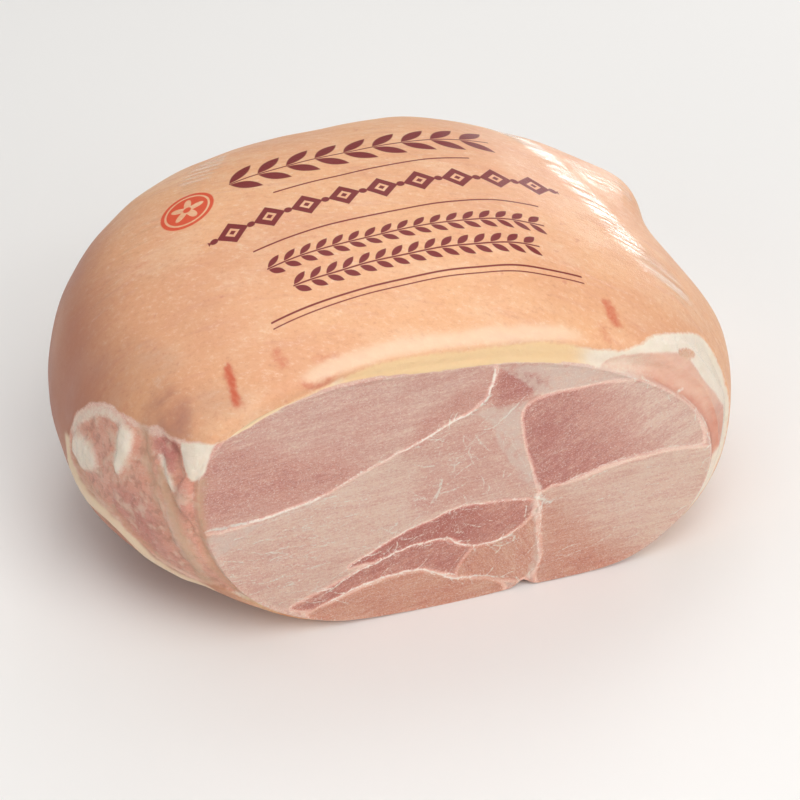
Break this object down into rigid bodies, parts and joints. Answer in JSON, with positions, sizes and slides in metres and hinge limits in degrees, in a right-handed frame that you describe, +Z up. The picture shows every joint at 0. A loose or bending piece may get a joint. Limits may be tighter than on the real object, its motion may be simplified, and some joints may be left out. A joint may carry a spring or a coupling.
{
  "type": "cooked ham",
  "caption": "Whole cooked ham in its pale rind, lying on its flatter side, cut straight across at one end to show the muscles and fat rim.",
  "frame": {"origin": "centre of the bounding box's bottom face, on the surface the ham rests on", "axes": "+X to the right along the cut face, which looks to -Y; +Y from the cut face into the ham; +Z up"},
  "size_m": [0.286, 0.205, 0.1501],
  "materials": {
    "rind": "moist, smooth, semi-gloss",
    "cut_meat": "moist, satin",
    "fat": "waxy, satin"
  },
  "bodies": {
    "root": {"ham": "rind"}
  },
  "joints": []
}
